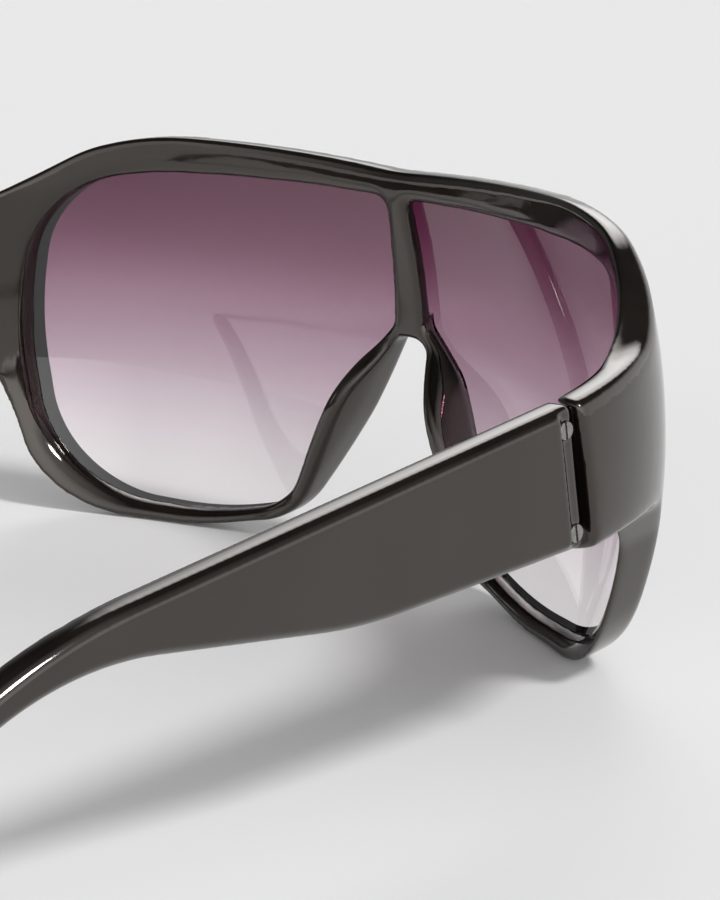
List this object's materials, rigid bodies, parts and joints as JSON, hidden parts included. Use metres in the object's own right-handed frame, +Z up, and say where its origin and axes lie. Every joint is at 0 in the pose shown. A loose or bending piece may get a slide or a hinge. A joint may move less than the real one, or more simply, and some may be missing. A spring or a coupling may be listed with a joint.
{
  "type": "shield sunglasses",
  "caption": "Oversized wrap shield sunglasses: a gradient lens set in a moulded front with a centre bar, and wide temples that fold on screwed barrel hinges.",
  "frame": {"origin": "centre of the bounding box's bottom, on the table that the open glasses stand on", "axes": "+Z up, the front of the glasses faces -Y, the temples run back along +Y, the wearer's left is +X"},
  "size_m": [0.1438, 0.1542, 0.0554],
  "materials": {
    "frame_plastic": "polished",
    "tinted_lens": "clear, tint fading from plum at the top to nearly clear at the bottom",
    "hinge_steel": "satin",
    "screw_steel": "bright"
  },
  "bodies": {
    "front": {"front_frame": "frame_plastic", "shield_lens": "tinted_lens", "hinge_front_leaf_left": "hinge_steel", "hinge_front_leaf_right": "hinge_steel", "hinge_screw_left": "screw_steel", "hinge_screw_right": "screw_steel", "front_leaf_screws_left": "screw_steel", "front_leaf_screws_right": "screw_steel"},
    "temple_left": {"temple_left": "frame_plastic", "hinge_temple_leaf_left": "hinge_steel", "temple_leaf_screws_left": "screw_steel"},
    "temple_right": {"temple_right": "frame_plastic", "hinge_temple_leaf_right": "hinge_steel", "temple_leaf_screws_right": "screw_steel"}
  },
  "joints": [
    {"name": "temple_left_fold", "type": "hinge", "parent": "front", "child": "temple_left", "pos_m": [0.06659, -0.03135, 0.03297], "axis": [0, 0.1616, 0.9869], "range_deg": [0, 97]},
    {"name": "temple_right_fold", "type": "hinge", "parent": "front", "child": "temple_right", "pos_m": [-0.06659, -0.03135, 0.03297], "axis": [0, -0.1616, -0.9869], "range_deg": [0, 87]}
  ]
}
